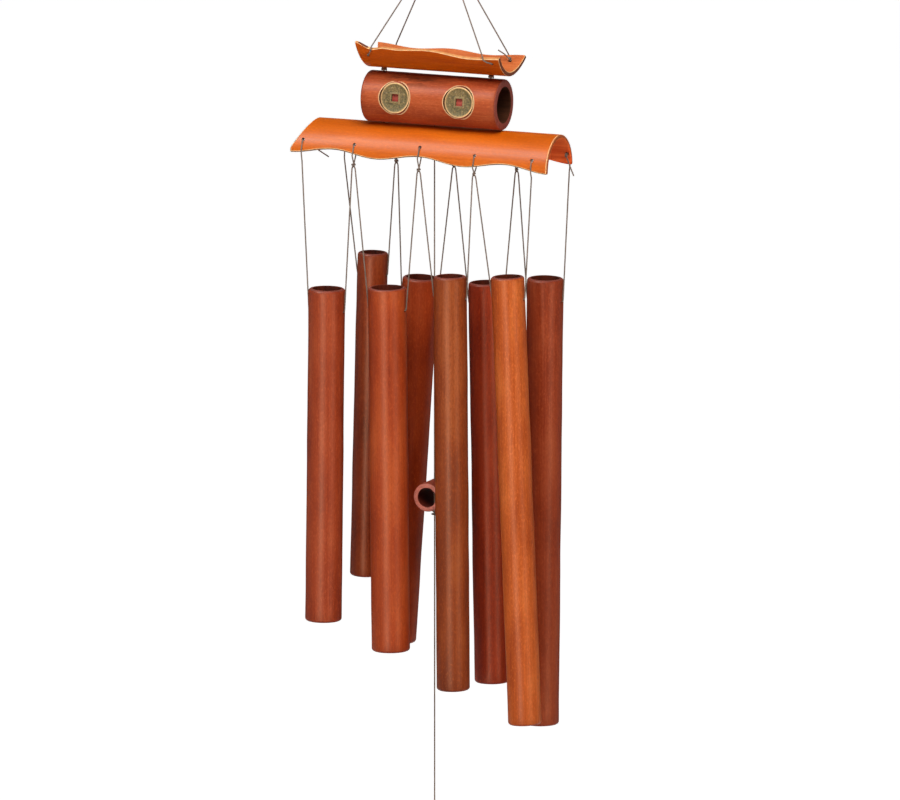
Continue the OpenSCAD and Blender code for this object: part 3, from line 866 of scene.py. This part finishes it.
# Tie cords through the two roofs and the barrel, and the centre cord with its knots
clapperSet = {
    "across": 22, "wall": 3.9, "long": 30, "edge": 1.2, "drop": 255, "holeAcross": 2.2, "swell": 0.2,
    "lacquer": ((120, 44, 26), (150, 62, 40), (172, 84, 58)), "rim": (96, 38, 28), "rimFade": 0.8,
    # the clapper's cut ends are its cut bamboo, lightened to pale pink as a painted highlight on the rims
    "bore": ((58, 16, 9), (92, 32, 19)), "cutEnd": ((190, 104, 90), (136, 60, 50)),
}
catcherSet = {
    "wide": 36, "radius": 25, "wall": 3, "hang": 3, "holeDrop": 7, "drop": 494, "edgeSoftening": 0.6,
}
centreKnotZ = lowerIn - lay - knotR
clapperKnotZ = -clapperSet["drop"] - clapperSet["across"] / 2 - swing - knotR
catcherKnotZ = -catcherSet["drop"]
catcherTop = catcherKnotZ - knotR - catcherSet["hang"]
catcherHalf = math.asin(catcherSet["wide"] / 2 / catcherSet["radius"])
catcherY = (catcherSet["radius"] - catcherSet["wall"] / 2) * math.sin(catcherHalf) / catcherHalf


def addTies():
    top = upperZ - upperIn + lay + knotR
    overGap = upperZ - upperR - barrelSet["gapOver"] / 2
    for x, word in zip(barrelSet["ties"], ("left", "right")):
        pieces = [
            twine("tieStrand", [(x, 0, centreKnotZ), (x, 0, barrelZ), (x, 0, top)]),
            twine("tieKnot", knotRoute((x, 0, centreKnotZ), 20)),
            twine("tieKnot", knotRoute((x, 0, top), 70)),
            twine("tieWrap", ringRoute((x, 0, overGap), *barrelSet["wrap"]), False),
        ]
        pieces[-1].data.materials[0] = stainedTwine
        boundCord("tieCord." + word, "tie_cord_" + word, pieces)


def straight(name, high, low, steps=16):
    return twine(name, [(0, 0, high + (low - high) * n / steps) for n in range(steps + 1)])


def addCentreCord():
    top = barrelZ - barrelSet["bore"] / 2 + lay + knotR
    tie = [
        straight("centreStrand", top, centreKnotZ),
        twine("centreKnot", knotRoute((0, 0, top), 10)),
        twine("centreKnot", knotRoute((0, 0, centreKnotZ), 60)),
    ]
    boundCord("centreTie", "centre_tie", tie)
    hitch = (knotR + swing + cordR) / math.sqrt(2)
    runs = (
        ("centre", "clapper", centreKnotZ, clapperKnotZ),
        ("catcher", "catcher", clapperKnotZ, catcherKnotZ),
    )
    for loop, word, high, low in runs:  # each cord hangs by a loop under the knot above it
        node, body = loop + "_loop", word + "_cord"
        fit(twine(loop + "Loop", ringRoute((0, 0, high - hitch), hitch, 1, 0), False), node, "cord", node)
        freeCord(straight(word + "Cord", high - knotR - swing, low + knotR + lay), body, body)
        fit(twine(word + "Knot", knotRoute((0, 0, low), 35)), body, "cord", word + "_knot")

    frontY = catcherY - catcherSet["radius"] - lay - cordR
    backY = catcherY - catcherSet["radius"] + catcherSet["wall"] + lay + cordR
    topZ, holeZ = catcherKnotZ - knotR - swing, catcherTop - catcherSet["holeDrop"]
    sling = [
        (-knotSide / 2 - lay, topZ), (frontY, catcherTop), (frontY, holeZ + cordAcross),
        (frontY + 0.4 * cordR, holeZ + 0.3), (frontY + cordAcross, holeZ), (backY - cordAcross, holeZ),
        (backY - 0.4 * cordR, holeZ + 0.3), (backY, holeZ + cordAcross), (backY, catcherTop),
        (knotSide / 2 + lay, topZ),
    ]
    fit(twine("catcherSling", [(0, y, z) for y, z in sling]), "wind_catcher", "cord", "catcher_sling")


addTies()
addCentreCord()
bpy.data.objects.remove(outline)
print("ties and centre cord are tied")


# Bamboo tubes: a profile is drawn in edit mode, spun round, swollen a little and drilled
insideTone, cutTone, paleTone, paintedShadeTone = 1, 2, 3, 4  # places in a piece's list of paints, after its lacquer; the last one is painted shade


def drawProfile(name, points):
    obj = added("plane", name, size=0.001, location=(0, 0, 0))
    mode("EDIT")
    bpy.ops.mesh.select_mode(type="VERT")
    pick("SELECT")
    bpy.ops.mesh.merge(type="CENTER")
    bpy.ops.transform.translate(value=Vector(points[0]) * mm)
    for before, after in zip(points, points[1:]):
        step = (Vector(after) - Vector(before)) * mm
        bpy.ops.mesh.extrude_vertices_move(TRANSFORM_OT_translate={"value": step})
    mode("OBJECT")
    return obj


def selectWhere(obj, kind, test):
    mode("EDIT")
    bpy.ops.mesh.select_mode(type=kind)
    pick("DESELECT")
    mode("OBJECT")
    for part in obj.data.edges if kind == "EDGE" else obj.data.polygons:
        part.select = test(part)
    mode("EDIT")


def spunTube(name, across, bore, long, edge, every=7, steps=72):
    out, inner = across / 2, bore / 2
    corner = [(out - edge + edge * sine(a), -edge + edge * cosine(a)) for a in (0, 22.5, 45, 67.5, 90)]
    lip = 0.35
    profile = [(inner, -long + lip), (inner, -lip), (inner + lip, 0)]
    profile += corner + [(x, -long - z) for x, z in corner[::-1]]
    profile += [(inner + lip, -long), (inner, -long + lip)]
    obj = drawProfile(name, [(x, 0, z) for x, z in profile])
    high = [point.co.z / mm for point in obj.data.vertices]
    selectWhere(obj, "EDGE", lambda edge: abs(high[edge.vertices[0]] - high[edge.vertices[1]]) > long * 0.7)
    bpy.ops.mesh.subdivide(number_cuts=round(long / every))
    pick("SELECT")
    bpy.ops.mesh.spin(steps=steps, angle=2 * math.pi, center=(0, 0, 0), axis=(0, 0, 1))
    pick("SELECT")
    bpy.ops.mesh.remove_doubles(threshold=0.00001)
    bpy.ops.mesh.normals_make_consistent(inside=False)
    mode("OBJECT")
    return obj


drillPast = 1.3  # a cross hole's cutter is that many times the tube's thickness
swellNoise = bpy.data.textures.new("bambooSwell", "CLOUDS")
swellNoise.noise_scale = 0.045
swellNoise.noise_depth = 1


def swell(obj, amount):
    modifier = obj.modifiers.new("swell", "DISPLACE")
    modifier.texture = swellNoise
    modifier.texture_coords = "GLOBAL"
    modifier.strength = amount * mm * 2
    modifier.mid_level = 0.5
    applyModifiers(obj)


def markEnds(obj, long, fade):
    marks = obj.data.attributes.new("endTone", "FLOAT", "POINT")
    for point, mark in zip(obj.data.vertices, marks.data):
        depth = -point.co.z / mm
        mark.value = math.exp(-max(0, min(depth, long - depth)) / fade)


def sortWalls(obj, bore, *paints):
    dress(obj, *paints)
    for face in obj.data.polygons:
        out = Vector((face.center.x, face.center.y, 0)) / mm
        if abs(face.normal.z) > 0.75:
            face.material_index = cutTone
        elif out.length < bore / 2 + 0.5 and face.normal.dot(out) < 0:
            face.material_index = insideTone


def drill(obj, cutter, index, caps=None):
    dress(cutter, *obj.data.materials)
    for face in cutter.data.polygons:
        face.material_index = index if caps is None or len(face.vertices) == 4 else caps
    combine(obj, cutter, "DIFFERENCE")


def rod(matrix, across, long):
    obj = added("cylinder", "rod", vertices=32, radius=across / 2 * mm, depth=long * mm)
    settle(obj, matrix)
    return obj


def drillTies(obj, places, z, long):
    for x in places:
        drill(obj, rod(moved((x, 0, z)), barrelSet["tieAcross"], long), insideTone)


def lying(axis):
    return turned(90, "Y" if axis == "X" else "X")


tubeTintsAndShade = {  # dark, middle and light of each tube's lacquer; the back-row tubes 2, 4, 6 and 8 also carry painted shade, darkened for the shade the front tubes cast on them
    1: ((122, 39, 16), (149, 58, 28), (169, 78, 42)),
    2: ((96, 34, 11), (130, 50, 20), (150, 70, 34)),
    3: ((126, 40, 12), (154, 58, 22), (174, 78, 36)),
    4: ((124, 38, 10), (154, 56, 20), (172, 74, 34)),
    5: ((104, 38, 10), (131, 55, 19), (156, 78, 35)),
    6: ((104, 26, 6), (138, 42, 13), (158, 58, 26)),
    7: ((148, 56, 12), (180, 82, 30), (204, 108, 50)),
    8: ((113, 35, 10), (139, 53, 24), (159, 73, 40)),
}
tubeTones = {
    "rim": (84, 24, 14), "rimFade": 1.1,
    "bore": ((60, 19, 10), (98, 37, 20)), "cutEnd": ((122, 48, 33), (74, 25, 17)),
}
cutPaint = cutBamboo("tubeCutEnd", *tubeTones["cutEnd"])
for i in range(8):
    number = i + 1
    lean, across, long = tubeSet["lean"][i], tubeSet["across"][i], tubeSet["long"][i]
    bore = across - 2 * tubeSet["wall"]
    tube = spunTube("chimeTube%d" % number, across, bore, long, tubeSet["edge"])
    markEnds(tube, long, tubeTones["rimFade"])
    # the tube's lacquer tints, partly painted shade on the back row
    lacquer = lacqueredBamboo("tubeLacquer%d" % number, *tubeTintsAndShade[number], "Z", lean, tubeTones["rim"])
    inside = boreBamboo("tubeBore%d" % number, *tubeTones["bore"], "Z", lean)
    sortWalls(tube, bore, lacquer, inside, cutPaint)
    cutter = rod(shift(0, 0, -tubeSet["holeDrop"]) @ lying("X"), tubeSet["holeAcross"], across * drillPast)
    drill(tube, cutter, insideTone)
    settle(tube, moved(tubeTop(i)) @ turned(-lean, "Y"))
    swell(tube, tubeSet["swell"])
    smooth(tube)
    node = "chime_tube_%d" % number
    slot = next(part["material_slot"] for part in frame["record"]["subparts"] if part["node"] == node)
    fit(tube, "tube_%d" % number, slot, node)
print("tubes are spun and drilled")


# Clapper: a short tube along Y on the centre cord
def addClapper():
    across, long = clapperSet["across"], clapperSet["long"]
    bore = across - 2 * clapperSet["wall"]
    obj = spunTube("clapperTube", across, bore, long, clapperSet["edge"], 4, 56)
    markEnds(obj, long, clapperSet["rimFade"])
    # the clapper's cut-end paint carries a painted highlight
    sortWalls(
        obj, bore, lacqueredBamboo("clapperLacquer", *clapperSet["lacquer"], "Y", 0, clapperSet["rim"]),
        boreBamboo("clapperBore", *clapperSet["bore"], "Y"),
        cutBamboo("clapperCutEndAndHighlight", *clapperSet["cutEnd"], "Y"))
    cutter = rod(shift(0, 0, -long / 2) @ lying("Y"), clapperSet["holeAcross"], across * drillPast)
    drill(obj, cutter, insideTone)
    settle(obj, moved((0, 0, -clapperSet["drop"])) @ lying("Y") @ shift(0, 0, long / 2))
    swell(obj, clapperSet["swell"])
    smooth(obj)
    fit(obj, "clapper", "tube_red_brown", "clapper")


addClapper()
print("clapper is hung")


# Barrel with two flat seats, and the coins in them
coinSet = {
    "across": 23, "thick": 2.4, "hole": 5.6, "rim": 1.4, "relief": 0.25, "spacing": 52, "aside": 0.8,
    "gap": 0.9, "seat": 14.6, "seatShift": 0.5, "tilt": 8.5,
    "wornEdge": 0.14, "rubbedRim": 0.7, "rubbedFace": 0.15, "petals": 8, "petalRing": 7.7,
    "petalSizes": ((1.8, 1.3), (2.2, 1.1)), "petalStretch": 1.7, "petalRise": 0.9,
    "brass": ((186, 158, 116), (103, 91, 52), (52, 50, 28)),
}
barrelTones = {
    "lacquer": ((124, 44, 18), (160, 68, 34), (184, 94, 52)), "rim": (84, 32, 26), "rimFade": 0.9,
    "gloss": 0.42, "shine": 0.06, "flecks": 0.6, "worn": (222, 184, 138), "wornReach": (0.2, 0.9),
    "stainAt": (-14, -9, 17), "stainReach": (36, 12, 8.5),
    "bore": ((34, 16, 9), (72, 40, 24)), "cutEnd": ((138, 64, 52), (84, 30, 24)),
    # the seat walls are painted dark brown: painted shade in the gap round each coin
    "seatWallShade": ((84, 36, 20), (58, 22, 12)), "seatFloor": ((128, 36, 30), (196, 96, 84)),
}
seatShadeTone, seatFloorTone = 3, 4


def coinMatrix(side):
    aside = coinSet["aside"] - barrelSet["middle"] + side * coinSet["spacing"] / 2
    at = moved((barrelSet["middle"], 0, barrelZ)) @ turned(-coinSet["tilt"], "X")
    return at @ shift(aside, -coinSet["seat"], 0) @ turned(90, "X")


def seatMatrix(side):
    return coinMatrix(side) @ shift(coinSet["seatShift"], 0, 0)


def addBarrel():
    across, long, bore = barrelSet["across"], barrelSet["long"], barrelSet["bore"]
    obj = spunTube("barrelTube", across, bore, long, barrelSet["edge"], 4, 96)
    tones = barrelTones
    markEnds(obj, long, tones["rimFade"])
    seatR = coinSet["across"] / 2 + coinSet["gap"]
    near, far = [(seatR + reach) * mm for reach in tones["wornReach"]]
    wear = [(seatMatrix(side).inverted(), near, far, tones["worn"]) for side in sides]
    stainAt = Vector(tones["stainAt"]) + Vector((0, 0, barrelZ))
    stain = (place(stainAt), [reach * mm for reach in tones["stainReach"]])
    lacquer = lacqueredBamboo("barrelLacquer", *tones["lacquer"], "X", 0, tones["rim"], tones["gloss"],
                              tones["shine"], tones["flecks"], wear, stain)
    sortWalls(
        obj, bore, lacquer, boreBamboo("barrelBore", *tones["bore"], "X"),
        cutBamboo("barrelCutEnd", *tones["cutEnd"], "X"), cutBamboo("seatWallShade", *tones["seatWallShade"], "Y"),
        boreBamboo("seatFloor", *tones["seatFloor"], "X"))
    settle(obj, moved((barrelSet["middle"] + long / 2, 0, barrelZ)) @ lying("X"))
    swell(obj, barrelSet["swell"])
    deep = across / 2
    for side in sides:
        seat = rod(seatMatrix(side) @ shift(0, 0, deep / 2), seatR * 2, deep)
        # the seat's wall takes the painted shade, its floor the seat floor paint
        drill(obj, seat, seatShadeTone, seatFloorTone)
    drillTies(obj, barrelSet["ties"], barrelZ, across * drillPast)
    drillTies(obj, (0,), barrelZ - across / 2, across / 2)
    smooth(obj)
    fit(obj, "canopy", "barrel_bamboo", "barrel")


def addCoin(side, name, node):
    size, thick, relief = coinSet["across"], coinSet["thick"], coinSet["relief"]
    obj = added("cylinder", name,
                vertices=96, radius=size / 2 * mm, depth=thick * mm, location=(0, 0, thick / 2 * mm))
    bpy.ops.object.transform_apply(location=True)
    selectWhere(obj, "FACE", lambda face: face.normal.z > 0.9)
    bpy.ops.mesh.inset(thickness=coinSet["rim"] * mm)
    bpy.ops.mesh.extrude_region_move(TRANSFORM_OT_translate={"value": (0, 0, -relief * mm)})
    mode("OBJECT")

    inner = coinSet["hole"] + 2 * coinSet["rim"]
    combine(obj, block("collar", (inner, inner, thick), thick / 2), "UNION")
    combine(obj, block("hole", (coinSet["hole"], coinSet["hole"], thick * 4), thick / 2), "DIFFERENCE")
    softEdges(obj, coinSet["wornEdge"], 2, 40)

    petals = [obj]
    for n in range(coinSet["petals"]):  # a plain ring of petals on the field
        turn = 360 * (n + 0.5) / coinSet["petals"]
        long, wide = coinSet["petalSizes"][n % 2]
        petal = added("uv_sphere", "petal", segments=16, ring_count=10, radius=mm)
        matrix = turned(turn, "Z") @ shift(coinSet["petalRing"], 0, thick - relief)
        sizes = (long / 2, wide / 2 * coinSet["petalStretch"], relief * coinSet["petalRise"], 1)
        settle(petal, matrix @ Matrix.Diagonal(sizes))
        petals.append(petal)
    obj = joined(name, petals)
    marks = obj.data.attributes.new("relief", "FLOAT", "POINT")
    for point, mark in zip(obj.data.vertices, marks.data):
        out = math.hypot(point.co.x, point.co.y) / mm
        rub = 1 if out > size / 2 - coinSet["rubbedRim"] else coinSet["rubbedFace"]
        mark.value = rub * max(0, min(1, (point.co.z / mm - thick + relief) / relief))
    dress(obj, brassPaint)
    settle(obj, coinMatrix(side))
    smooth(obj, 30)
    fit(obj, "canopy", "coin_brass", node)


def block(name, sizes, z):
    obj = added("cube", name, size=1)
    settle(obj, shift(0, 0, z) @ Matrix.Diagonal((*[s * mm for s in sizes], 1)))
    return obj


brassPaint = agedBrass("agedBrass", *coinSet["brass"])
addBarrel()
addCoin(-1, "coin.left", "coin_left")
addCoin(1, "coin.right", "coin_right")
print("barrel and coins are set")


# Roofs: a grid bent to half a bamboo tube, with a wall, softened edges and drilled holes
# each roof's 'end' colour is painted shade: the dark line on its end and downward bevels and in its drilled holes
roofTones = {
    "lowerRoof": {
        "lacquer": ((180, 79, 4), (196, 91, 6), (211, 106, 17)), "shine": 0.1,
        "inside": ((206, 74, 30), (244, 116, 56)),
        "cut": (170, 84, 36), "pale": (240, 186, 128), "end": (92, 38, 18),
    },
    "upperRoof": {
        "lacquer": ((160, 60, 2), (180, 75, 6), (196, 92, 16)), "shine": 0.04,
        "inside": ((176, 84, 36), (212, 122, 70)),
        "cut": (222, 150, 88), "pale": (238, 190, 134), "end": (104, 46, 18),
    },
    "windCatcher": {
        "lacquer": ((146, 56, 10), (184, 84, 26), (206, 112, 50)), "shine": 0.06,
        "inside": ((150, 62, 18), (192, 100, 44)),
        "cut": (206, 128, 66), "pale": (236, 184, 126), "end": (104, 46, 18),
    },
}
roofDrill = 14


def bentGrid(name, along, across, bend):
    obj = added("grid", name, x_subdivisions=along, y_subdivisions=across, size=2)
    for point in obj.data.vertices:
        point.co = place(bend(point.co.x, point.co.y))
    return obj


def wallUp(obj, roof):
    dress(obj, *roofPaints(obj.name))
    thicken = obj.modifiers.new("wall", "SOLIDIFY")
    thicken.thickness = roof["wall"] * mm
    thicken.offset = -1
    thicken.use_even_offset = True
    thicken.material_offset = insideTone
    thicken.material_offset_rim = cutTone
    softEdges(obj, roof["edgeSoftening"], 3, 50, paleTone)
    swell(obj, roof["swell"])


def roofPaints(name):
    tones, shine = roofTones[name], roofTones[name]["shine"]
    paints = [
        lacqueredBamboo(name + "Lacquer", *tones["lacquer"], "X", gloss=0.4, shine=shine, flecks=0.35),
        boreBamboo(name + "Inside", *tones["inside"], "X"),
    ]
    # the third paint, from each roof's 'end' colour, is the painted shade
    for key, word, darker in (("cut", "CutEdge", 0.75), ("pale", "PaleEdge", 0.85), ("end", "PaintedShadeEdge", 0.6)):
        paints.append(cutBamboo(name + word, tones[key], [c * darker for c in tones[key]], "X"))
    return paints


def toneEdges(obj, axisZ, tone):
    middle = place((0, 0, axisZ))
    for face in obj.data.polygons:
        if face.material_index > insideTone:
            away = face.center - middle
            outward = face.normal.dot(Vector((0, away.y, away.z)).normalized())
            face.material_index = tone(face.normal, outward)


# the lower roof's left-end bevels and its downward-facing bevels and rim faces are painted dark as painted shade
def lowerRoofTone(normal, outward):
    if normal.x < -0.35:
        return paintedShadeTone
    if normal.x > 0.5:
        return cutTone if outward > -0.25 else insideTone
    if outward > 0.25:
        return paleTone if normal.z > -0.45 else paintedShadeTone
    return insideTone if outward < -0.25 else paintedShadeTone


# the upper roof's outer end bevels are painted dark as painted shade
def upperRoofTone(normal, outward):
    if abs(normal.x) > 0.35:
        return paleTone if outward < -0.25 else paintedShadeTone
    return cutTone if normal.z > 0.9 else paleTone if outward > 0 else insideTone


def lowerRoofBend(u, w):
    s = lowerRoof
    half, r = s["long"] / 2, s["radius"]
    edge = lowerEdge(u * half)
    start = math.degrees(math.asin(edge / r))
    angle = start + (180 - 2 * start) * (w + 1) / 2
    z = r * sine(angle)
    foot = lowerEdge(-half) + s["blunt"]
    left = -half + s["rake"] * max(0, (z - foot) / (r + 1 - foot))
    return (s["middle"] + left + (half - left) * (u + 1) / 2, -r * cosine(angle), z)


def upperRoofBend(u, w):
    s = upperRoof
    half, r = s["long"] / 2, s["radius"]
    less = s["short"] if w > 0 and u > 0 else 0
    rim = upperRimAngle(0 if w > 0 else 1, u * (half - less))
    angle = -w * rim
    z, rimZ = -r * cosine(angle), -r * cosine(rim)
    share = max(0, min(1, (z + r + 1) / (rimZ + r + 1)))
    return upperPoint(u * (half - s["rake"] * (1 - share) - less * share), angle, r)


def addRoofs():
    lower = bentGrid("lowerRoof", 120, 48, lowerRoofBend)
    wallUp(lower, lowerRoof)
    toneEdges(lower, 0, lowerRoofTone)
    # the drilled holes' walls take the painted shade
    for row in (0, 1):
        for x, angle in zip(lowerRoof["holes"][row], lowerRoof["holeAngle"]):
            at = lowerPoint(row, x, angle, lowerR)
            turn = turned(sides[row] * (angle - 90), "X")
            drill(lower, rod(moved(at) @ turn, lowerRoof["holeAcross"], roofDrill), paintedShadeTone)
    drillTies(lower, (*barrelSet["ties"], 0), lowerR, roofDrill)
    smooth(lower)
    fit(lower, "canopy", "roof_bamboo", "lower_roof")

    upper = bentGrid("upperRoof", 96, 40, upperRoofBend)
    wallUp(upper, upperRoof)
    toneEdges(upper, upperZ, upperRoofTone)
    # the drilled holes' walls take the painted shade
    for corner in range(4):
        side = sides[corner // 2]
        at = upperPoint(upperRoof["holes"][corner], side * upperRoof["holeAngle"], upperR)
        turn = turned(side * upperRoof["holeAngle"] - upperRoof["roll"], "X")
        drill(upper, rod(moved(at) @ turn, upperRoof["holeAcross"], roofDrill), paintedShadeTone)
    drillTies(upper, barrelSet["ties"], upperZ - upperR, roofDrill)
    smooth(upper)
    fit(upper, "canopy", "roof_bamboo", "upper_roof")


addRoofs()
print("roofs are bent and drilled")


# Wind catcher: the frame's slat with softened edges, and the steel ring
def addCatcher():
    obj = linked("windCatcher", frame["nodes"]["wind_catcher"].data.copy())
    only(obj)
    mode("EDIT")
    pick("SELECT")
    bpy.ops.mesh.remove_doubles(threshold=0.000005)
    bpy.ops.mesh.dissolve_limited(angle_limit=math.radians(1))
    mode("OBJECT")
    dress(obj, *roofPaints(obj.name))
    softEdges(obj, catcherSet["edgeSoftening"], 2, 40, paleTone)
    smooth(obj)
    fit(obj, "wind_catcher", "roof_bamboo", "wind_catcher")


def paintRing():
    dress(frame["nodes"]["hanging_ring"], ringSteel("ringSteel"))


addCatcher()
paintRing()
print("wind catcher and ring are finished")
